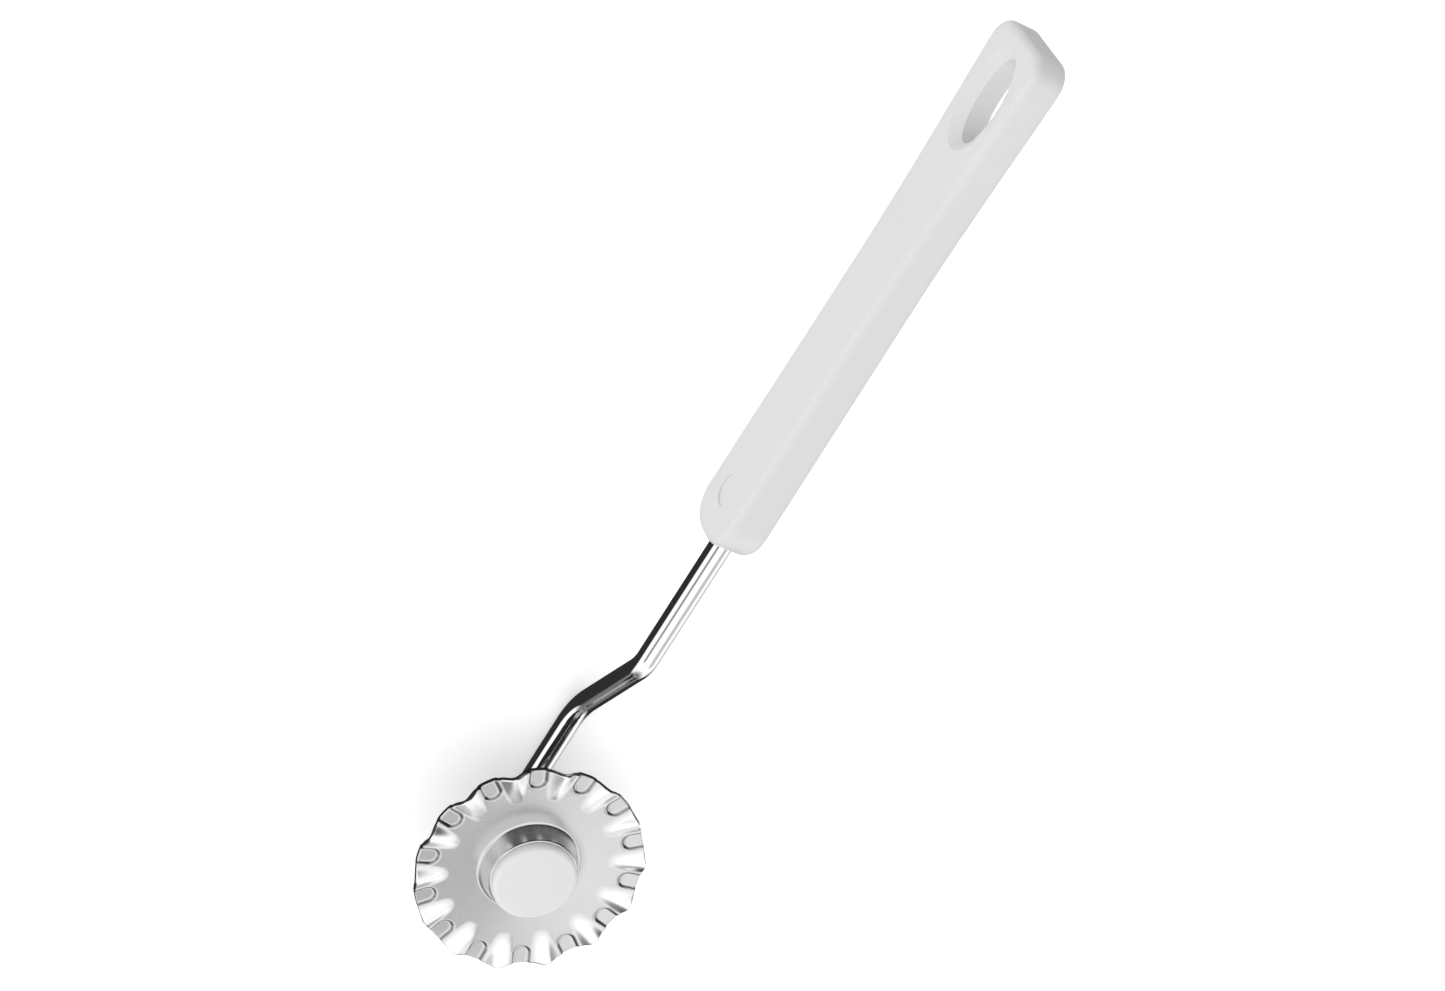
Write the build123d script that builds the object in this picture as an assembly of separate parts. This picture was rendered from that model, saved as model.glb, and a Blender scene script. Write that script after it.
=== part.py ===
from build123d import *
from math import atan, cos, degrees, radians, sin, tan
import os

# A tracing wheel: a fluted steel disc that spins freely on the bent end of a wire shank,
# with a flat moulded handle. Millimetres.
#
# The tool lies on its back. X runs along it, from the hanging end of the handle to the
# wheel. Z is the direction of the axle, with the capped side of the wheel facing up.
# The broad thumb face of the handle looks along -Y. The origin is the middle of the
# tool's footprint, at the height of the lowest wire.

# ---- wire shank ----
wire_diameter = 4.0
shank_reach = 67.3          # handle mouth to axle centre
crank_start = 26.4          # handle mouth to the corner where the wire starts to drop
crank_end = 43.4            # handle mouth to the corner where it runs level again
crank_drop = 11.3
crank_upper_radius = 6.0
crank_lower_radius = 12.0
axle_bend_radius = 5.5
tang_length = 46.0
tang_flat_length = 14.0     # flat on the tang that keeps the handle from turning
tang_flat_depth = 0.7
ear_span = 6.6              # ears pinched from the wire, which stop the wheel from sliding down
ear_width = 1.8
ear_height = 1.4

# ---- handle ----
handle_length = 99.5
handle_width = 15.2         # along Z, at the mouth
handle_end_width = 19.4
handle_thickness = 7.6      # along Y, at the mouth
handle_end_thickness = 6.5
handle_waist_length = 52.0  # parallel stretch before the flare
handle_flare_end = 0.06     # slope of the sides where the flare meets the hanging end
handle_offset = 0.8         # the moulding stands this far towards the thumb face
mouth_corner_radius = 6.0
end_corner_radius = 4.0
end_straight = 5.0          # straight sides next to the hanging end
edge_radius = 1.5           # round both broad faces
eye_length = 15.8
eye_width = 7.6
eye_dish_length = 19.0
eye_dish_width = 12.8
eye_dish_depth = 1.4
eye_dish_overcut = 0.2      # the dishes' cutters stand this far off the broad faces
eye_setback = 12.1          # hanging end to the middle of the eye
thumb_mark_diameter = 5.6
thumb_mark_depth = 0.25
thumb_mark_setback = 8.7    # mouth to the middle of the round mark

# ---- wheel disc ----
wheel_diameter = 40.0
disc_height = 4.0           # top of the sheet at the boss, above the wire axis in the handle
sheet = 0.8
flute_count = 14
dish_angle = 6.0            # the web rises towards the rim
boss_base_diameter = 17.3
boss_top_diameter = 15.4
boss_height = 3.7
boss_base_fillet = 0.6
boss_top_fillet = 0.4
ridge_start = 14.3          # radius at which a flute's ridge leaves the web
ridge_height = 1.6          # above the web, at the rim
ridge_radius = 2.7
groove_start = 16.2         # radius at which the groove between two ridges begins
groove_depth = 0.5          # below the web, at the rim
groove_radius = 3.1
rod_overrun = 2.5           # each fluting die reaches this far past both ends of its flute
flute_margin = 2.0          # plain web kept between the boss and the fluting

# ---- hub ----
bush_barrel_diameter = 8.4
bush_length_behind = 7.4    # behind the top of the sheet
spigot_diameter = 10.4
spigot_height = 4.6         # above the top of the sheet
spigot_recess_diameter = 8.0
spigot_recess_depth = 2.3
cap_diameter = 14.9
cap_height = 5.4            # above the top of the sheet
cap_edge_radius = 1.3
cap_wall = 0.8
axle_tip_height = 4.2       # above the top of the sheet
nut_diameter = 7.0
nut_thickness = 0.4
nut_dish = 0.3
nut_slots = 4
nut_slot_width = 0.7
nut_slot_length = 0.9
washer_diameter = 7.0
washer_thickness = 0.5

# ---- clearances ----
bore_clearance = 0.06       # wheel bush on the axle, on the radius
end_clearance = 0.3         # between turning and fixed faces along the axle
press_clearance = 0.02      # pressed or moulded round faces, on the radius
seat_clearance = 0.1        # bush inside the hollow of the boss

# ---- places ----
wire_radius = wire_diameter / 2
wheel_radius = wheel_diameter / 2
overall_length = handle_length + shank_reach + wheel_radius
tip_x = -overall_length / 2
mouth_x = tip_x + handle_length
axle_x = mouth_x + shank_reach
wire_z = crank_drop + wire_radius
disc_z = wire_z + disc_height
handle_y = -handle_offset
boss_base_radius = boss_base_diameter / 2
boss_top_radius = boss_top_diameter / 2
spigot_radius = spigot_diameter / 2
recess_floor = spigot_height - spigot_recess_depth
front_washer_base = recess_floor + end_clearance
nut_base = front_washer_base + washer_thickness
back_washer_top = -bush_length_behind - end_clearance
back_washer_base = back_washer_top - washer_thickness
axle_top_z = disc_z + axle_tip_height


def on_axle(height):
    """The place on the axle's line at a height above the top of the sheet at the boss."""
    return Location((axle_x, 0, disc_z + height))


def disc(radius, height):
    """A round disc that stands on its origin."""
    return Cylinder(radius, height, align=(Align.CENTER, Align.CENTER, Align.MIN))


# ---- handle ----

def handle_outline():
    """The handle's broad outline: parallel from the mouth, then flaring to a rounded end."""
    half = handle_width / 2
    half_end = handle_end_width / 2
    waist = -handle_waist_length
    shoulder = end_straight - handle_length
    slope = handle_flare_end
    upper = Line((0, half), (waist, half))
    upper_flare = Spline((waist, half), (shoulder, half_end), tangents=((-1, 0), (-1, slope)))
    end = Polyline(
        (shoulder, half_end),
        (-handle_length, half_end),
        (-handle_length, -half_end),
        (shoulder, -half_end),
    )
    lower_flare = Spline((shoulder, -half_end), (waist, -half), tangents=((1, slope), (1, 0)))
    lower = Line((waist, -half), (0, -half))
    mouth = Line((0, -half), (0, half))
    face = make_face([upper, upper_flare, end, lower_flare, lower, mouth])
    mouth_corners = face.vertices().group_by(Axis.X)[-1]
    face = fillet(mouth_corners, mouth_corner_radius)
    end_corners = face.vertices().group_by(Axis.X)[0]
    return fillet(end_corners, end_corner_radius)


def handle_side():
    """The handle seen along its width: it thins towards the hanging end."""
    half = handle_thickness / 2
    half_end = handle_end_thickness / 2
    corners = [(0, half), (-handle_length, half_end), (-handle_length, -half_end), (0, -half)]
    return make_face(Polyline(*corners, close=True))


def eye_cutter():
    """The oval hanging eye, dished on both broad faces."""
    hole = extrude(Plane.XZ * Ellipse(eye_length / 2, eye_width / 2), handle_thickness, both=True)
    reach = handle_end_thickness / 2 + eye_dish_overcut
    for side in (-1, 1):
        floor = Plane.XZ.offset(side * (reach - eye_dish_depth))
        rim = Plane.XZ.offset(side * reach)
        dish = loft(
            [
                floor * Ellipse(eye_length / 2, eye_width / 2),
                rim * Ellipse(eye_dish_length / 2, eye_dish_width / 2),
            ]
        )
        hole += dish
    return Location((eye_setback - handle_length, 0, 0)) * hole


def thumb_mark_cutter():
    """A plain, shallow round recess in the thumb face, near the mouth."""
    mark = Plane.XZ * Circle(thumb_mark_diameter / 2)
    slope = (handle_thickness - handle_end_thickness) / 2 / handle_length
    face_y = handle_thickness / 2 - slope * thumb_mark_setback
    cutter = extrude(mark, 2 * thumb_mark_depth, both=False)
    return Location((-thumb_mark_setback, thumb_mark_depth - face_y, 0)) * cutter


def tang_shape(radius):
    """The round tang with one flat near its end, lying along X and ending at the mouth."""
    tang = Plane.YZ.offset(-tang_length) * Circle(radius)
    body = extrude(tang, tang_length)
    flat_middle = tang_flat_length / 2 - tang_length
    flat = Pos(flat_middle, 0, radius) * Box(tang_flat_length, 2 * radius, 2 * tang_flat_depth)
    return body - flat


def make_handle():
    slab = extrude(Plane.XZ * handle_outline(), handle_thickness, both=True)
    body = slab & extrude(handle_side(), handle_end_width, both=True)
    outline_edges = [e for e in body.edges() if abs((e % 0.5).Y) < 0.5]
    body = fillet(outline_edges, edge_radius)
    body -= eye_cutter()
    body -= thumb_mark_cutter()
    body = Pos(mouth_x, handle_y, wire_z) * body
    return body - Pos(mouth_x, 0, wire_z) * tang_shape(wire_radius + press_clearance)


# ---- shank ----

def shank_route():
    """The wire's centre line: tang, crank, level run behind the wheel, and the axle."""
    low_z = wire_z - crank_drop
    points = [
        (mouth_x - tang_length, 0, wire_z),
        (mouth_x + crank_start, 0, wire_z),
        (mouth_x + crank_end, 0, low_z),
        (axle_x, 0, low_z),
        (axle_x, 0, axle_top_z),
    ]
    bends = [crank_upper_radius, crank_lower_radius, axle_bend_radius]
    return FilletPolyline(*points, radius=bends)


def make_shank():
    route = shank_route()
    wire = sweep(Plane(route @ 0, z_dir=route % 0) * Circle(wire_radius), path=route)
    flat_x = mouth_x - tang_length + tang_flat_length / 2
    wire -= Pos(flat_x, 0, wire_z + wire_radius) * Box(
        tang_flat_length, wire_diameter, 2 * tang_flat_depth
    )
    ear_z = back_washer_base - ear_height / 2
    ears = Box(ear_width, ear_span, ear_height)
    ears = fillet(ears.edges().filter_by(Axis.Z), ear_width / 3)
    wire += on_axle(ear_z) * ears
    tip = wire.edges().filter_by(GeomType.CIRCLE).group_by(Axis.Z)[-1]
    return chamfer(tip, wire_radius / 6)


# ---- wheel disc ----

def web_height(radius):
    """Height of the sheet's top face at a radius, from its height at the boss."""
    return (radius - boss_base_radius) * tan(radians(dish_angle))


def sheet_blank():
    """The stamped sheet before fluting: a drawn boss in the middle of a shallow dish."""
    hole_radius = spigot_radius
    top = [
        (hole_radius, boss_height),
        (boss_top_radius, boss_height),
        (boss_base_radius, 0),
        (wheel_radius, web_height(wheel_radius)),
    ]
    under = [
        (wheel_radius, web_height(wheel_radius) - sheet),
        (boss_base_radius - sheet, -sheet),
        (boss_top_radius - sheet, boss_height - sheet),
        (hole_radius, boss_height - sheet),
    ]
    profile = make_face(Plane.XZ * Polyline(*top, *under, close=True))
    body = revolve(profile, Axis.Z)
    circles = body.edges().filter_by(GeomType.CIRCLE)
    base = [e for e in circles if abs(e.radius - boss_base_radius) < 0.01]
    body = fillet(base, boss_base_fillet)
    circles = body.edges().filter_by(GeomType.CIRCLE)
    shoulder = [e for e in circles if abs(e.radius - boss_top_radius) < 0.01]
    return fillet(shoulder, boss_top_fillet)


def rim_zone(lowest, highest):
    """The ring of space near the rim between two heights above the web's top face."""
    inner = boss_base_radius + flute_margin
    corners = [
        (inner, web_height(inner) + lowest),
        (wheel_radius, web_height(wheel_radius) + lowest),
        (wheel_radius, web_height(wheel_radius) + highest),
        (inner, web_height(inner) + highest),
    ]
    return revolve(make_face(Plane.XZ * Polyline(*corners, close=True)), Axis.Z)


def radial_rod(radius, start, rise, line_offset):
    """A rod over the rim whose guide line meets the web at start and rises by rise at the rim.

    The rod's axis is line_offset above the guide line, or below it when negative.
    """
    run = wheel_radius - start
    climb = web_height(wheel_radius) + rise - web_height(start)
    slope = atan(climb / run)
    length = (run + 2 * rod_overrun) / cos(slope)
    middle_r = (start + wheel_radius) / 2 - line_offset * sin(slope)
    middle_z = web_height(start) + climb / 2 + line_offset * cos(slope)
    lie = 90 if line_offset < 0 else -90   # turns the rod's seam away from the sheet
    rod = Cylinder(radius, length, rotation=(0, lie, 0))
    return Pos(middle_r, 0, middle_z) * Rot(0, -degrees(slope), 0) * rod


def make_wheel_disc():
    pitch = 360 / flute_count
    body = Rot(0, 0, pitch / 5) * sheet_blank()   # keeps the blank's seam off every flute's middle
    above = Rot(0, 0, 90) * rim_zone(-sheet / 2, 2 * ridge_height)
    below = Rot(0, 0, 90) * rim_zone(-sheet - 2 * groove_depth, -sheet / 2)
    ridge = radial_rod(ridge_radius, ridge_start, ridge_height, -ridge_radius) & above
    hollow = radial_rod(ridge_radius - sheet, ridge_start, ridge_height, -ridge_radius)
    keel = radial_rod(groove_radius + sheet, groove_start, -groove_depth, groove_radius) & below
    groove = radial_rod(groove_radius, groove_start, -groove_depth, groove_radius)
    ridge_turns = [Rot(0, 0, (i + 0.5) * pitch) for i in range(flute_count)]
    groove_turns = [Rot(0, 0, i * pitch) for i in range(flute_count)]
    body += [turn * ridge for turn in ridge_turns]
    body += [turn * keel for turn in groove_turns]
    body -= [turn * hollow for turn in ridge_turns]
    body -= [turn * groove for turn in groove_turns]
    return on_axle(0) * body


# ---- hub ----

def make_hub_bush():
    """The plastic bush that the wheel turns on, shouldered inside the hollow boss."""
    bore = wire_radius + bore_clearance
    seat = boss_height - sheet
    shoulder_radius = boss_top_radius - sheet - seat_clearance
    profile = [
        (bore, -bush_length_behind),
        (bush_barrel_diameter / 2, -bush_length_behind),
        (bush_barrel_diameter / 2, -sheet),
        (shoulder_radius, -sheet),
        (shoulder_radius, seat),
        (spigot_radius - press_clearance, seat),
        (spigot_radius - press_clearance, spigot_height),
        (spigot_recess_diameter / 2, spigot_height),
        (spigot_recess_diameter / 2, recess_floor),
        (bore, recess_floor),
    ]
    return on_axle(0) * revolve(make_face(Plane.XZ * Polyline(*profile, close=True)), Axis.Z)


def make_hub_cap():
    """The white cap pressed over the spigot, resting on the boss."""
    height = cap_height - boss_height
    cap = disc(cap_diameter / 2, height)
    cap = fillet(cap.edges().group_by(Axis.Z)[-1], cap_edge_radius)
    return on_axle(boss_height) * (cap - disc(spigot_radius, height - cap_wall))


def make_push_nut():
    """The spring nut pressed on the axle's tip, with slots that let it bite."""
    hole = wire_radius + press_clearance
    outer = nut_diameter / 2
    profile = [
        (hole, nut_dish),
        (outer, 0),
        (outer, nut_thickness),
        (hole, nut_dish + nut_thickness),
    ]
    nut = revolve(make_face(Plane.XZ * Polyline(*profile, close=True)), Axis.Z)
    slot_reach = hole + nut_slot_length
    slot = Pos(slot_reach / 2, 0, nut_dish) * Box(slot_reach, nut_slot_width, 4 * nut_thickness)
    nut -= [Rot(0, 0, i * 360 / nut_slots) * slot for i in range(nut_slots)]
    return on_axle(nut_base) * nut


def make_washer(height):
    """A thin steel washer on the axle, standing at a height above the top of the sheet."""
    washer = disc(washer_diameter / 2, washer_thickness)
    return on_axle(height) * (washer - disc(wire_radius + press_clearance, washer_thickness))


parts = {
    "handle": make_handle(),
    "shank": make_shank(),
    "wheel_disc": make_wheel_disc(),
    "hub_bush": make_hub_bush(),
    "hub_cap": make_hub_cap(),
    "push_nut": make_push_nut(),
    "front_washer": make_washer(front_washer_base),
    "back_washer": make_washer(back_washer_base),
}

os.makedirs("parts", exist_ok=True)
for name, part in parts.items():
    part.label = name
    export_step(part, f"parts/{name}.step")
    box = part.bounding_box()
    print(name, round(part.volume, 1), [round(v, 2) for v in (*box.min, *box.max)])
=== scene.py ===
import bpy
from math import atan, cos, pi, radians, sin, tan
from mathutils import Matrix, Vector


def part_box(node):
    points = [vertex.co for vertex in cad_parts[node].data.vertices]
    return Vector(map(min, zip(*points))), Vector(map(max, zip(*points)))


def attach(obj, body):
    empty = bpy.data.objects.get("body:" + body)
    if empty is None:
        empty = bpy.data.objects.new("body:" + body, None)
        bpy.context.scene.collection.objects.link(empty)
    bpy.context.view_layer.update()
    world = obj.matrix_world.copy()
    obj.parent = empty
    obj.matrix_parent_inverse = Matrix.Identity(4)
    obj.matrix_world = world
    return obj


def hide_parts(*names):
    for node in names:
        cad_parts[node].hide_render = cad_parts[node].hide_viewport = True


# A tracing wheel, dressed around its frame: a white moulded handle, a chromed wire shank with
# a crank, and a fluted chromed disc that spins behind a white cap. Metres.

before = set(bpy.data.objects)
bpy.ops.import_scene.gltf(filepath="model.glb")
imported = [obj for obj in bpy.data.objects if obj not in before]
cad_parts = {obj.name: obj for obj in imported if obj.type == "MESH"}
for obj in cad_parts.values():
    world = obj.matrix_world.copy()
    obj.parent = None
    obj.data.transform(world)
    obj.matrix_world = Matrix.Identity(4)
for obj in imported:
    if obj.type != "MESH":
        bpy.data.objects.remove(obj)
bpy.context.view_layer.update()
mm = 0.001
hair = 0.001 * mm           # closer than this, two places are the same

# ---- places taken from the frame ----
handle_low, handle_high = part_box("handle")
shank_low, shank_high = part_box("shank")
disc_low, disc_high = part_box("wheel_disc")
cap_low, cap_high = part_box("hub_cap")

wire_radius = 2.0 * mm
boss_height = 3.7 * mm
handle_offset = 0.8 * mm    # the moulding stands this far towards the thumb face
mouth_x = handle_high.x
tip_x = handle_low.x
axle_x = shank_high.x - wire_radius
wire_z = (handle_low.z + handle_high.z) / 2
low_wire_z = shank_low.z + wire_radius
axle_top = shank_high.z
disc_z = cap_low.z - boss_height
handle_y = -handle_offset


# ---- tools of the bench ----

def alone(piece):
    """Selects one piece and nothing else."""
    if bpy.context.object and bpy.context.object.mode != "OBJECT":
        bpy.ops.object.mode_set(mode="OBJECT")
    bpy.ops.object.select_all(action="DESELECT")
    piece.select_set(True)
    bpy.context.view_layer.objects.active = piece
    return piece


def started(name):
    """Names the primitive that was just added, settles it at the origin and opens it for editing."""
    piece = bpy.context.object
    piece.name = name
    piece.data.name = name
    alone(piece)
    bpy.ops.object.transform_apply(location=True, rotation=True, scale=True)
    bpy.ops.object.mode_set(mode="EDIT")
    return piece


def pick(piece, test, kind="VERT"):
    """Selects the vertices of an open piece that pass a test, or the edges whose two ends do."""
    bpy.ops.mesh.select_mode(type=kind)
    bpy.ops.mesh.select_all(action="DESELECT")
    bpy.ops.object.mode_set(mode="OBJECT")
    mesh = piece.data
    if kind == "VERT":
        for v in mesh.vertices:
            v.select = test(v.co)
    else:
        for e in mesh.edges:
            a, b = (mesh.vertices[i].co for i in e.vertices)
            e.select = test(a, b)
    bpy.ops.object.mode_set(mode="EDIT")
    bpy.ops.mesh.select_mode(type=kind)


def pull(offset):
    """Extrudes what is selected and moves it."""
    bpy.ops.mesh.extrude_region_move(TRANSFORM_OT_translate={"value": tuple(offset)})


def closed(piece, angle=35):
    """Merges doubles, turns the faces outwards, leaves edit mode and smooths up to an angle."""
    bpy.ops.mesh.select_all(action="SELECT")
    bpy.ops.mesh.remove_doubles(threshold=hair / 10)
    bpy.ops.mesh.normals_make_consistent(inside=False)
    bpy.ops.object.mode_set(mode="OBJECT")
    alone(piece)
    bpy.ops.object.shade_smooth_by_angle(angle=radians(angle))
    return piece


def worked(piece, kind, **settings):
    """Adds a modifier to a piece and applies it."""
    alone(piece)
    made = piece.modifiers.new(kind.title(), kind)
    for key, value in settings.items():
        setattr(made, key, value)
    bpy.ops.object.modifier_apply(modifier=made.name)
    return piece


# ---- finishes ----

class Tone:
    """A shader socket that takes arithmetic, so that finishes read as formulas."""

    def __init__(self, finish, socket):
        self.finish = finish
        self.socket = socket

    def _with(self, operation, first, second):
        made = self.finish.node("Math", {"operation": operation}, {0: first, 1: second})
        return Tone(self.finish, made.outputs[0])

    def __add__(self, other):
        return self._with("ADD", self, other)

    __radd__ = __add__

    def __sub__(self, other):
        return self._with("SUBTRACT", self, other)

    def __rsub__(self, other):
        return self._with("SUBTRACT", other, self)

    def __mul__(self, other):
        return self._with("MULTIPLY", self, other)

    __rmul__ = __mul__

    def ramp(self, low, high):
        """0 at low and 1 at high, smoothly; low may be above high."""
        made = self.finish.node(
            "MapRange",
            {"interpolation_type": "SMOOTHSTEP"},
            {"Value": self, "From Min": low, "From Max": high, "To Min": 0.0, "To Max": 1.0},
        )
        return Tone(self.finish, made.outputs[0])


class Finish:
    """A node tree in the making: a material with one Principled shader, or the world."""

    def __init__(self, name, tree=None):
        if tree is None:
            self.material = bpy.data.materials.new(name)
            self.material.use_nodes = True
            tree = self.material.node_tree
        self.tree = tree
        self.shader = tree.nodes.get("Principled BSDF")

    def node(self, kind, settings=None, inputs=None):
        """Adds a node of a kind, with its settings first and then its sockets."""
        made = self.tree.nodes.new("ShaderNode" + kind)
        for key, value in (settings or {}).items():
            setattr(made, key, value)
        for key, value in (inputs or {}).items():
            self.feed(made.inputs[key], value)
        return made

    def feed(self, socket, value):
        """Links a socket to a tone or another socket, or sets it to a plain value."""
        if isinstance(value, Tone):
            self.tree.links.new(value.socket, socket)
        elif isinstance(value, bpy.types.NodeSocket):
            self.tree.links.new(value, socket)
        else:
            socket.default_value = value

    def surface(self, **sockets):
        """Feeds the sockets of the Principled shader, named with underscores for spaces."""
        for key, value in sockets.items():
            self.feed(self.shader.inputs[key.replace("_", " ")], value)

    def place(self):
        return self.node("TexCoord").outputs["Object"]

    def noise(self, scale, detail=3.0, roughness=0.5, place=None):
        made = self.node(
            "TexNoise",
            None,
            {
                "Vector": place or self.place(),
                "Scale": scale,
                "Detail": detail,
                "Roughness": roughness,
            },
        )
        return Tone(self, made.outputs["Fac"])

    def between(self, share, first, second):
        """A colour between two, by a share from 0 to 1."""
        made = self.node("Mix", {"data_type": "RGBA"}, {0: share, 6: first, 7: second})
        return made.outputs[2]

    def relief(self, height, depth, strength=1.0):
        """A normal that stands up to depth metres where the height is 1."""
        made = self.node(
            "Bump", None, {"Height": height, "Distance": depth, "Strength": strength}
        )
        return made.outputs["Normal"]


def grey(level, tint=0.0):
    """A grey that leans towards blue by a tint."""
    return (level, level, level + tint, 1.0)


def satin_white(name, level, roughness):
    """White moulded plastic with a fine mould texture and faint handling marks."""
    finish = Finish(name)
    cloud = finish.noise(45.0)
    grain = finish.noise(2600.0, 2.0)
    rub = finish.noise(160.0, 4.0, 0.6)
    finish.surface(
        Base_Color=finish.between(cloud, grey(level, 0.004), grey(level - 0.025, 0.0)),
        Roughness=roughness + 0.10 * (rub - 0.5),
        Normal=finish.relief(grain, 0.012 * mm, 0.5),
        IOR=1.49,
    )
    return finish.material


def chromed(name, level, roughness, ripple):
    """Bright plating with slight waviness, faint wiping marks and dulled patches."""
    finish = Finish(name)
    wave = finish.noise(140.0, 1.0)
    wipe = finish.noise(380.0, 5.0, 0.65)
    finish.surface(
        Base_Color=finish.between(wipe, grey(level, 0.006), grey(level - 0.03, 0.004)),
        Metallic=1.0,
        Roughness=roughness + 0.05 * wipe.ramp(0.45, 0.75),
        Normal=finish.relief(wave, ripple * mm, 1.0),
    )
    return finish.material


def stamped_chrome(name, web, highlit_ridge_level, roughness):
    """Satin plating on the disc: a duller web, a painted highlight on the ridges and painted shade
    in the dents' walls.

    The disc carries where highlight and shade are painted on it as attributes of its mesh.
    """
    finish = Finish(name)
    wipe = finish.noise(380.0, 5.0, 0.65)
    painted_ridge_highlight_mask = finish.node("Attribute", {"attribute_name": "painted_ridge_highlight_mask"}).outputs["Fac"]
    painted_dent_shade = finish.node("Attribute", {"attribute_name": "painted_dent_shade"}).outputs["Fac"]
    # painted highlight: the ridges' plating is brighter than the web's, by how high they stand; the
    # wiping marks below are real wear
    plating = finish.between(painted_ridge_highlight_mask, grey(web, 0.006), grey(highlit_ridge_level, 0.004))
    worn_and_highlit = finish.between(0.08 * wipe, plating, grey(web - 0.2))
    finish.surface(
        # near-black painted shade in the middle of the dents' walls, standing in for their dark
        # reflection
        Base_Color=finish.between(painted_dent_shade, worn_and_highlit, grey(0.1)),
        Metallic=1.0,
        Roughness=roughness + 0.05 * wipe.ramp(0.45, 0.75),
        Normal=finish.relief(finish.noise(140.0, 1.0), 0.004 * mm, 1.0),
    )
    return finish.material


def plain_steel(name, level):
    """Unplated spring steel with a drawn grain."""
    finish = Finish(name)
    drawn = (200.0, 3000.0, 200.0)
    stretched = finish.node("Mapping", None, {"Vector": finish.place(), "Scale": drawn})
    grain = finish.noise(1.0, 3.0, 0.6, stretched.outputs[0])
    finish.surface(
        Base_Color=finish.between(grain, grey(level), grey(level - 0.12)),
        Metallic=1.0,
        Roughness=0.28 + 0.2 * grain,
        Normal=finish.relief(grain, 0.004 * mm, 0.6),
    )
    return finish.material


handle_white = satin_white("handle_white", 0.75, 0.42)
cap_white = satin_white("cap_white", 0.82, 0.30)
bush_white = satin_white("bush_white", 0.66, 0.38)
wire_chrome = chromed("wire_chrome", 0.90, 0.05, 0.01)
# 0.95 is the ridges' plating brightened as a painted highlight
disc_chrome = stamped_chrome("disc_chrome", 0.70, 0.95, 0.24)
steel = plain_steel("steel", 0.58)


# ---- wire shank ----
crank_start = 26.4 * mm
crank_end = 43.4 * mm
crank_upper_radius = 6.0 * mm
crank_lower_radius = 12.0 * mm
axle_bend_radius = 5.5 * mm
tip_chamfer = wire_radius / 6
wire_sides = 64
bend_step = 0.35 * mm       # length of a facet on the outside of a bend
fewest_bend_steps = 8


def bend(radius, centre, turn):
    """Spins the open end of the wire about an axis along Y."""
    steps = max(fewest_bend_steps, int(abs(turn) * (radius + wire_radius) / bend_step))
    bpy.ops.mesh.spin(steps=steps, angle=-turn, center=tuple(centre), axis=(0, 1, 0))


def make_wire():
    """One length of round wire: tang, crank, level run and the axle."""
    bpy.ops.mesh.primitive_circle_add(
        vertices=wire_sides,
        radius=wire_radius,
        location=(shank_low.x, 0, wire_z),
        rotation=(0, pi / 2, 0),
    )
    wire = started("cranked_wire")
    bpy.ops.mesh.select_all(action="SELECT")
    slope = atan((wire_z - low_wire_z) / (crank_end - crank_start))
    upper_cut = crank_upper_radius * tan(slope / 2)
    lower_cut = crank_lower_radius * tan(slope / 2)
    along = Vector((cos(slope), 0, -sin(slope)))
    rise = Vector((sin(slope), 0, cos(slope)))
    corner = Vector((mouth_x + crank_start, 0, wire_z))
    foot = Vector((mouth_x + crank_end, 0, low_wire_z))
    pull((corner.x - upper_cut - shank_low.x, 0, 0))
    start = corner - Vector((upper_cut, 0, 0))
    bend(crank_upper_radius, start - Vector((0, 0, crank_upper_radius)), slope)
    run = (foot - corner).length - upper_cut - lower_cut
    pull(along * run)
    start = foot - along * lower_cut
    bend(crank_lower_radius, start + rise * crank_lower_radius, -slope)
    level = axle_x - axle_bend_radius - (foot.x + lower_cut)
    pull((level, 0, 0))
    start = Vector((axle_x - axle_bend_radius, 0, low_wire_z))
    bend(axle_bend_radius, start + Vector((0, 0, axle_bend_radius)), -pi / 2)
    pull((0, 0, axle_top - tip_chamfer - low_wire_z - axle_bend_radius))
    pull((0, 0, tip_chamfer))
    shrink = 1 - tip_chamfer / wire_radius
    bpy.ops.transform.resize(value=(shrink, shrink, 1))
    bpy.ops.mesh.edge_face_add()
    pick(wire, lambda p: p.x < shank_low.x + hair)
    bpy.ops.mesh.edge_face_add()
    return closed(wire)


# ---- wheel disc ----
sheet = 0.8 * mm
rim_radius = (disc_high.x - disc_low.x) / 2
flute_count = 14
pitch = 2 * pi / flute_count
dish_slope = tan(radians(6.0))
boss_base_radius = 8.65 * mm
boss_top_radius = 7.7 * mm
boss_hole_radius = 5.2 * mm
boss_base_fillet = 0.6 * mm
boss_top_fillet = 0.5 * mm
ridge_start = 14.0 * mm
ridge_height = 1.35 * mm
ridge_half_width = 2.5 * mm
ridge_tip_share = 0.35      # width of a ridge at its inner tip, as a share of its width at the rim
ridge_roundness = 1.5       # 1 is a plain wave across the ridge, and more is narrower at the foot
dent_start = 16.2 * mm
dent_half_width = 1.8 * mm
dent_depth = 0.55 * mm
dent_wall = 0.7 * mm
painted_ridge_highlight_gain = 4.0          # the painted highlight is full on a ridge above one part in this of its height
painted_dent_shade_gain = 3.2           # how dark the painted shade in the middle of a dent's wall is
columns_per_flute = 36
fillet_steps = 6
flat_rings = 4
fluted_rings = 30
plain_margin = 0.3 * mm     # the rings grow denser this far before the ridges start


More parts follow.
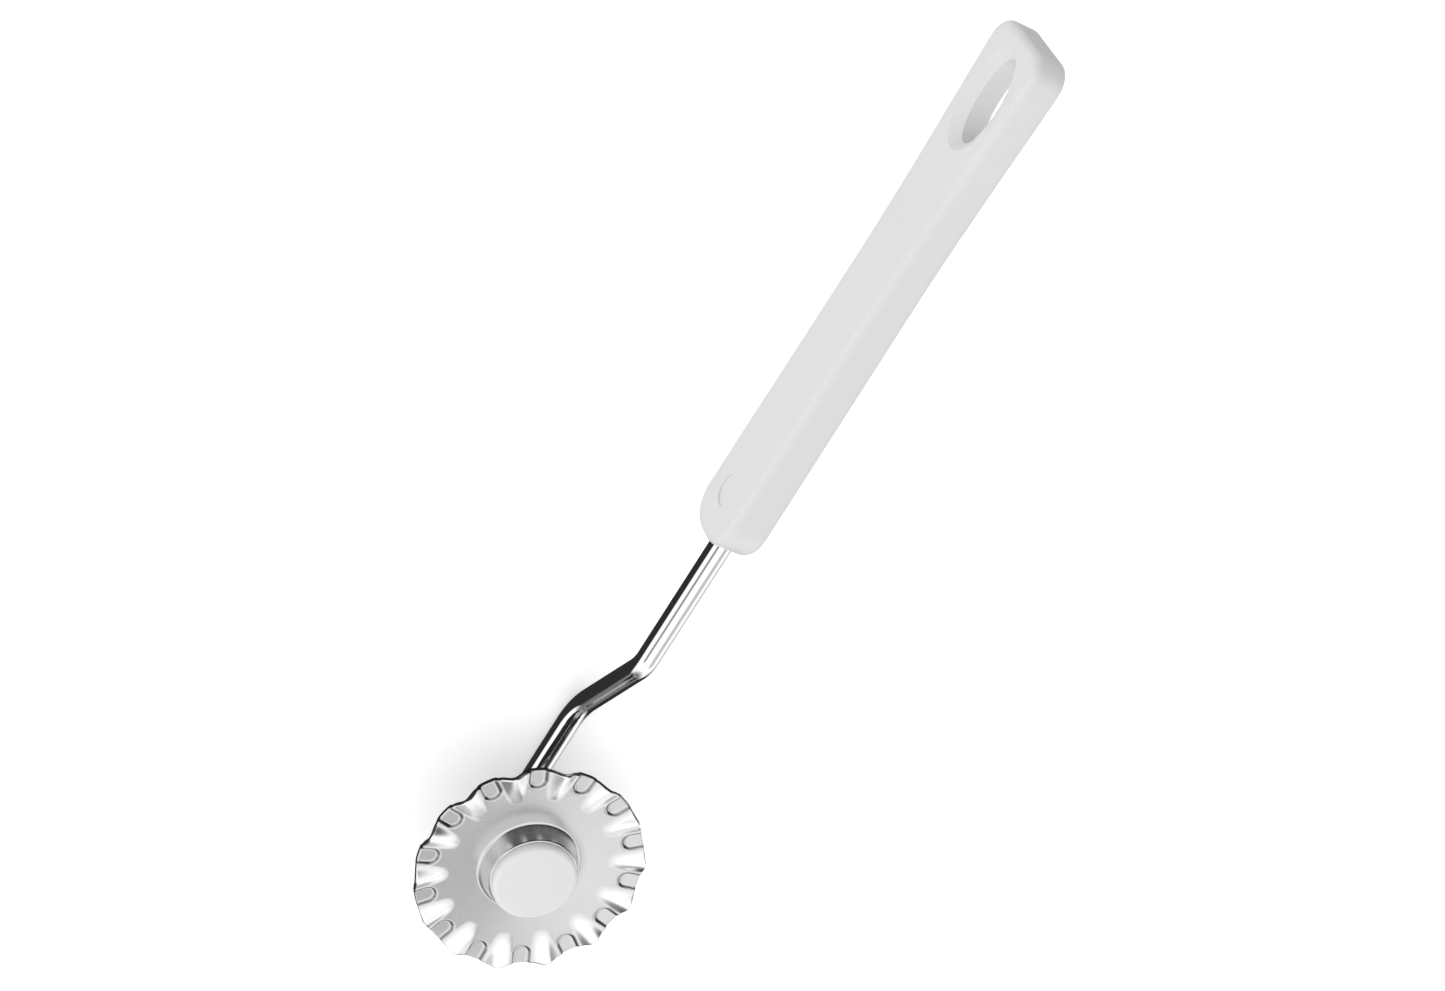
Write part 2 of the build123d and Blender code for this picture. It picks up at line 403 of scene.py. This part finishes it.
def rounded(before, corner, after, radius, steps):
    """Points of the arc that rounds a corner between two neighbours."""
    to_before = (Vector(before) - Vector(corner)).normalized()
    to_after = (Vector(after) - Vector(corner)).normalized()
    half = to_before.angle(to_after) / 2
    cut = radius / tan(half)
    middle = Vector(corner) + (to_before + to_after).normalized() * radius / sin(half)
    start = Vector(corner) + to_before * cut - middle
    end = Vector(corner) + to_after * cut - middle
    return [middle + radius * start.slerp(end, i / steps) for i in range(steps + 1)]


def smoothstep(value, width):
    """0 below zero and 1 above a width, smoothly."""
    share = min(max(value / width, 0), 1)
    return share * share * (3 - 2 * share)


def flute(radius, angle):
    """How far the flutes lift the web at a place, and how much painted highlight and painted shade
    it gets there.
    """
    from_ridge = (angle + pitch) % pitch - pitch / 2
    from_dent = (angle + pitch / 2) % pitch - pitch / 2
    rise = 0
    if radius > ridge_start:
        climb = (radius - ridge_start) / (rim_radius - ridge_start)
        narrow = ridge_half_width * (ridge_tip_share + (1 - ridge_tip_share) * climb ** 0.5)
        across = radius * sin(from_ridge) / narrow
        if abs(across) < 1:
            rise = ridge_height * climb * cos(across * pi / 2) ** ridge_roundness
    side = abs(radius * sin(from_dent))
    centre = dent_start + dent_half_width
    inward = max(centre - radius, 0)
    depth = dent_half_width - (side * side + inward * inward) ** 0.5
    sunk = smoothstep(depth, dent_wall)
    # painted highlight, full on the upper part of each ridge
    painted_ridge_highlight = min(painted_ridge_highlight_gain * rise / ridge_height, 1)
    # painted shade, darkest midway down a dent's wall
    painted_dent_shade = painted_dent_shade_gain * sunk * (1 - sunk)
    return rise - dent_depth * sunk, painted_ridge_highlight, painted_dent_shade


def web_rings(start, end, count):
    """Points along the dished web from one radius to another, without the first."""
    radii = [start + (end - start) * (i + 1) / count for i in range(count)]
    return [Vector((r, (r - boss_base_radius) * dish_slope)) for r in radii]


def disc_section():
    """The top of the sheet from the boss's hole to the rim, as points of radius and height."""
    hole = (boss_hole_radius, boss_height)
    shoulder = (boss_top_radius, boss_height)
    base = (boss_base_radius, 0)
    rim = (rim_radius, (rim_radius - boss_base_radius) * dish_slope)
    boss = rounded(hole, shoulder, base, boss_top_fillet, fillet_steps)
    boss += rounded(shoulder, base, rim, boss_base_fillet, fillet_steps)
    plain_end = ridge_start - plain_margin
    plain = web_rings(boss[-1].x, plain_end, flat_rings)
    return boss + plain + web_rings(plain_end, rim_radius, fluted_rings)


def press_flutes(disc):
    """Presses the flutes into the web, and notes where highlight and shade are painted on it."""
    # mesh attribute for the painted highlight on the ridges
    painted_ridge_highlight_mask = disc.data.attributes.new("painted_ridge_highlight_mask", "FLOAT", "POINT")
    # mesh attribute for the painted shade in the dents' walls
    painted_dent_shade_mask = disc.data.attributes.new("painted_dent_shade", "FLOAT", "POINT")
    for v in disc.data.vertices:
        arm = Vector((v.co.x - axle_x, v.co.y))
        if arm.length > boss_base_radius + boss_base_fillet:
            angle = arm.angle_signed(Vector((1, 0))) + 2 * pi
            rise, painted_ridge_highlight, painted_dent_shade = flute(arm.length, angle)
            v.co.z += rise
            painted_ridge_highlight_mask.data[v.index].value = painted_ridge_highlight
            painted_dent_shade_mask.data[v.index].value = painted_dent_shade


def make_disc():
    """The stamped disc: a section swept round in rings, fluted, then given its thickness."""
    bpy.ops.mesh.primitive_circle_add(
        vertices=flute_count * columns_per_flute,
        radius=boss_hole_radius,
        location=(axle_x, 0, disc_z + boss_height),
    )
    disc = started("fluted_disc")
    bpy.ops.mesh.select_all(action="SELECT")
    last = Vector((boss_hole_radius, boss_height))
    for point in disc_section():
        pull((0, 0, point.y - last.y))
        grow = point.x / last.x
        bpy.ops.transform.resize(value=(grow, grow, 1))
        last = point
    closed(disc, 40)
    press_flutes(disc)
    alone(disc)
    bpy.ops.object.mode_set(mode="EDIT")
    bpy.ops.mesh.select_all(action="SELECT")
    bpy.ops.mesh.normals_make_consistent(inside=False)
    bpy.ops.object.mode_set(mode="OBJECT")
    if disc.data.polygons[0].normal.z < 0:
        disc.data.flip_normals()
    worked(disc, "SOLIDIFY", thickness=sheet, offset=-1.0, use_even_offset=False)
    return disc


# ---- handle ----
handle_length = mouth_x - tip_x
handle_width = 15.2 * mm
handle_end_width = handle_high.z - handle_low.z
handle_thickness = 7.6 * mm
handle_end_thickness = 6.5 * mm
handle_waist_length = 52.0 * mm
mouth_corner_radius = 6.0 * mm
end_corner_radius = 4.0 * mm
end_straight = 5.0 * mm
flare_end_slope = 0.06
handle_edge_radius = 1.5 * mm
eye_x = tip_x + 12.1 * mm
eye_length = 15.8 * mm
eye_width = 7.6 * mm
eye_dish_length = 19.0 * mm
eye_dish_width = 12.8 * mm
eye_dish_depth = 1.4 * mm
mark_x = mouth_x - 8.7 * mm
mark_radius = 2.8 * mm
mark_depth = 0.25 * mm
flare_columns = 60
corner_segments = 16
edge_segments = 7
eye_sides = 96
eye_overcut = 1.15          # the dish's cutter is this much deeper than the dish
cut_edge_softening = 0.12 * mm


def half_width(x):
    """Half the handle's width at a place along it: parallel, then flaring to the end."""
    waist = mouth_x - handle_waist_length
    shoulder = tip_x + end_straight
    narrow = handle_width / 2
    wide = handle_end_width / 2
    if x >= waist:
        return narrow
    run = waist - shoulder
    t = min((waist - x) / run, 1)
    flare = (wide - narrow) * (3 * t * t - 2 * t ** 3)
    return narrow + flare + flare_end_slope * run * (t ** 3 - t * t)


def half_thickness(x):
    """Half the handle's thickness at a place along it: it thins towards the hanging end."""
    share = (mouth_x - x) / handle_length
    return (handle_thickness + (handle_end_thickness - handle_thickness) * share) / 2


def eye_cutter():
    """An oval plug that opens into a dish at both broad faces."""
    bpy.ops.mesh.primitive_circle_add(
        vertices=eye_sides, radius=1, location=(eye_x, handle_y, wire_z), rotation=(pi / 2, 0, 0)
    )
    plug = started("eye_cutter")
    bpy.ops.mesh.select_all(action="SELECT")
    bpy.ops.transform.resize(value=(eye_length / 2, 1, eye_width / 2))
    floor = half_thickness(eye_x) - eye_dish_depth
    lengthen = (eye_length + (eye_dish_length - eye_length) * eye_overcut) / eye_length
    widen = (eye_width + (eye_dish_width - eye_width) * eye_overcut) / eye_width
    for side in (1, -1):
        pick(plug, lambda p: abs(p.y - handle_y) < hair)
        pull((0, side * floor, 0))
        pull((0, side * eye_dish_depth * eye_overcut, 0))
        bpy.ops.transform.resize(value=(lengthen, 1, widen))
        bpy.ops.mesh.edge_face_add()
    return closed(plug)


def mark_cutter():
    """A short plug for the plain round mark in the thumb face."""
    face = handle_y - half_thickness(mark_x)
    bpy.ops.mesh.primitive_cylinder_add(
        vertices=64,
        radius=mark_radius,
        depth=2 * mark_depth,
        location=(mark_x, face, wire_z),
        rotation=(pi / 2, 0, 0),
    )
    return closed(started("mark_cutter"))


def cut_away(piece, tool):
    """Cuts a tool's shape out of a piece and throws the tool away."""
    worked(piece, "BOOLEAN", operation="DIFFERENCE", object=tool, solver="EXACT")
    bpy.data.objects.remove(tool)


def round_corners(handle, x, radius):
    """Rounds the two corners of the flat outline at one end, where its sides are straight."""
    cleared = 1.05 * radius
    pick(handle, lambda p: hair < abs(p.x - x) < cleared)
    bpy.ops.mesh.dissolve_verts()
    pick(handle, lambda p: abs(p.x - x) < hair)
    bpy.ops.mesh.bevel(
        affect="VERTICES",
        offset=radius,
        offset_type="OFFSET",
        segments=corner_segments,
        clamp_overlap=False,
    )


def round_outline(handle):
    """Rounds the outline of both broad faces, leaving the edges across the faces alone."""

    def crosses_face(a, b):
        inside = tip_x + hair < a.x < mouth_x - hair
        from_side_to_side = (a.z - wire_z) * (b.z - wire_z) < 0
        return inside and from_side_to_side and abs(a.x - b.x) < hair / 10

    def on_outline(a, b):
        on_one_face = (a.y - handle_y) * (b.y - handle_y) > 0
        return on_one_face and not crosses_face(a, b)

    pick(handle, on_outline, "EDGE")
    bpy.ops.mesh.bevel(
        affect="EDGES", offset=handle_edge_radius, segments=edge_segments, clamp_overlap=False
    )


def make_handle():
    """A flat bar with a flared end, rounded all round, with the eye and the mark cut in."""
    bpy.ops.mesh.primitive_grid_add(
        x_subdivisions=flare_columns,
        y_subdivisions=1,
        size=1,
        location=((mouth_x + tip_x) / 2, handle_y, wire_z),
        rotation=(pi / 2, 0, 0),
    )
    handle = started("moulded_handle")
    bpy.ops.mesh.select_all(action="SELECT")
    bpy.ops.transform.resize(value=(handle_length, 1, handle_width))
    bpy.ops.object.mode_set(mode="OBJECT")
    for v in handle.data.vertices:
        v.co.z = wire_z + half_width(v.co.x) * (1 if v.co.z > wire_z else -1)
    bpy.ops.object.mode_set(mode="EDIT")
    round_corners(handle, mouth_x, mouth_corner_radius)
    round_corners(handle, tip_x, end_corner_radius)
    bpy.ops.mesh.select_all(action="SELECT")
    pull((0, handle_thickness, 0))
    bpy.ops.object.mode_set(mode="OBJECT")
    for v in handle.data.vertices:
        v.co.y = handle_y + half_thickness(v.co.x) * (1 if v.co.y > handle_y + hair else -1)
    bpy.ops.object.mode_set(mode="EDIT")
    bpy.ops.mesh.select_all(action="SELECT")
    bpy.ops.mesh.normals_make_consistent(inside=False)
    round_outline(handle)
    closed(handle, 30)
    cut_away(handle, eye_cutter())
    cut_away(handle, mark_cutter())
    worked(
        handle,
        "BEVEL",
        width=cut_edge_softening,
        segments=2,
        limit_method="ANGLE",
        angle_limit=radians(30),
    )
    bpy.ops.object.shade_smooth_by_angle(angle=radians(30))
    return worked(handle, "WEIGHTED_NORMAL", keep_sharp=True)


# ---- cap ----
cap_radius = (cap_high.x - cap_low.x) / 2
cap_edge_radius = 0.9 * mm
cap_foot_softening = 0.15 * mm
cap_sides = 128


def make_cap():
    """The round push-on cap: a flat top with a softly rounded edge."""
    height = cap_high.z - cap_low.z
    bpy.ops.mesh.primitive_cylinder_add(
        vertices=cap_sides,
        radius=cap_radius,
        depth=height,
        location=(axle_x, 0, cap_low.z + height / 2),
    )
    cap = started("hub_cap_shell")
    pick(cap, lambda a, b: min(a.z, b.z) > cap_high.z - hair, "EDGE")
    bpy.ops.mesh.bevel(affect="EDGES", offset=cap_edge_radius, segments=8, clamp_overlap=False)
    pick(cap, lambda a, b: max(a.z, b.z) < cap_low.z + hair, "EDGE")
    bpy.ops.mesh.bevel(affect="EDGES", offset=cap_foot_softening, segments=3, clamp_overlap=False)
    return closed(cap, 50)


# ---- putting the looks on the frame ----

def dress(piece, material, body, node):
    """Gives a finished piece its material, and its place in the frame instead of a CAD node."""
    piece.data.materials.clear()
    piece.data.materials.append(material)
    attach(piece, body)
    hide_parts(node)


dress(make_wire(), wire_chrome, "tool", "shank")
dress(make_disc(), disc_chrome, "wheel", "wheel_disc")
dress(make_handle(), handle_white, "tool", "handle")
dress(make_cap(), cap_white, "wheel", "hub_cap")
for node, material in (
    ("hub_bush", bush_white),
    ("push_nut", steel),
    ("front_washer", steel),
    ("back_washer", steel),
):
    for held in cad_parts[node].material_slots:
        held.material = material


# ---- studio ----

camera_azimuth = radians(-35.52)
camera_elevation = radians(55.12)
camera_roll = radians(153.0)
camera_target = Vector((-1.46, -4.87, 13.3)) * mm
camera_distance = 712.5 * mm
camera_lens = 107.6
camera_sensor = 36.0
key_place = (-0.1, -0.9, 1.0)
key_size = 1.2
key_power = 3.0


def studio_camera():
    """A long lens that looks down on the capped side, rolled so that the handle points up."""
    turn = Matrix.Rotation(camera_azimuth, 4, "Z")
    turn = turn @ Matrix.Rotation(pi / 2 - camera_elevation, 4, "X")
    turn = turn @ Matrix.Rotation(camera_roll, 4, "Z")
    data = bpy.data.cameras.new("camera")
    data.lens = camera_lens
    data.sensor_width = camera_sensor
    data.clip_start = 0.01
    data.clip_end = 20.0
    camera = bpy.data.objects.new("camera", data)
    bpy.context.scene.collection.objects.link(camera)
    back = turn @ Vector((0, 0, 1))
    camera.matrix_world = Matrix.Translation(camera_target + back * camera_distance) @ turn
    bpy.context.scene.camera = camera


def studio_floor():
    """A plain pale floor, lit a little from behind, which the plating doesn't reflect."""
    bpy.ops.mesh.primitive_plane_add(size=6.0, location=(0, 0, 0))
    floor = bpy.context.object
    floor.name = "floor"
    finish = Finish("floor_white")
    cloud = finish.noise(3.0)
    finish.surface(
        Base_Color=finish.between(cloud, grey(0.93), grey(0.91)),
        Roughness=0.9,
        Emission_Color=(1, 1, 1, 1),
        Emission_Strength=0.4,
    )
    floor.data.materials.append(finish.material)
    floor.visible_glossy = False


def studio_world():
    """A white tent with one dark end, and a thin patch and a seam for the plating to show."""
    world = bpy.data.worlds.new("studio")
    world.use_nodes = True
    bpy.context.scene.world = world
    look = Finish("studio", world.node_tree)
    split = look.node("SeparateXYZ", None, {0: look.node("TexCoord").outputs["Generated"]})
    x, y, z = (Tone(look, split.outputs[i]) for i in range(3))
    near_end = x.ramp(-0.1, -0.4) * z.ramp(0.74, 0.6)
    tent = z.ramp(-0.08, 0.08) * (1 - near_end) * (1 - 0.85 * x.ramp(0.75, 0.95))
    gap = (0.33 * x + 0.60 * y + 0.73 * z).ramp(0.945, 0.985)
    seam = (0.33 * x - 0.62 * y + 0.71 * z).ramp(0.975, 0.995)
    low_panel = y.ramp(0.7, 0.9) * z.ramp(0.05, -0.05)
    level = 0.03 + 1.12 * tent * (1 - 0.5 * gap) * (1 - 0.75 * seam) + 0.8 * low_panel
    background = world.node_tree.nodes["Background"]
    look.feed(background.inputs["Color"], (1, 1, 1, 1))
    look.feed(background.inputs["Strength"], level)


def soft_light(name, place, size, power):
    """A round soft lamp that looks at the origin and leaves no spot on the plating."""
    data = bpy.data.lights.new(name, "AREA")
    data.shape = "DISK"
    data.size = size
    data.energy = power
    lamp = bpy.data.objects.new(name, data)
    bpy.context.scene.collection.objects.link(lamp)
    lamp.location = place
    lamp.rotation_euler = (-Vector(place)).to_track_quat("-Z", "Y").to_euler()
    lamp.visible_glossy = False


studio_camera()
studio_floor()
studio_world()
soft_light("key", key_place, key_size, key_power)
bpy.context.scene.view_settings.view_transform = "Standard"
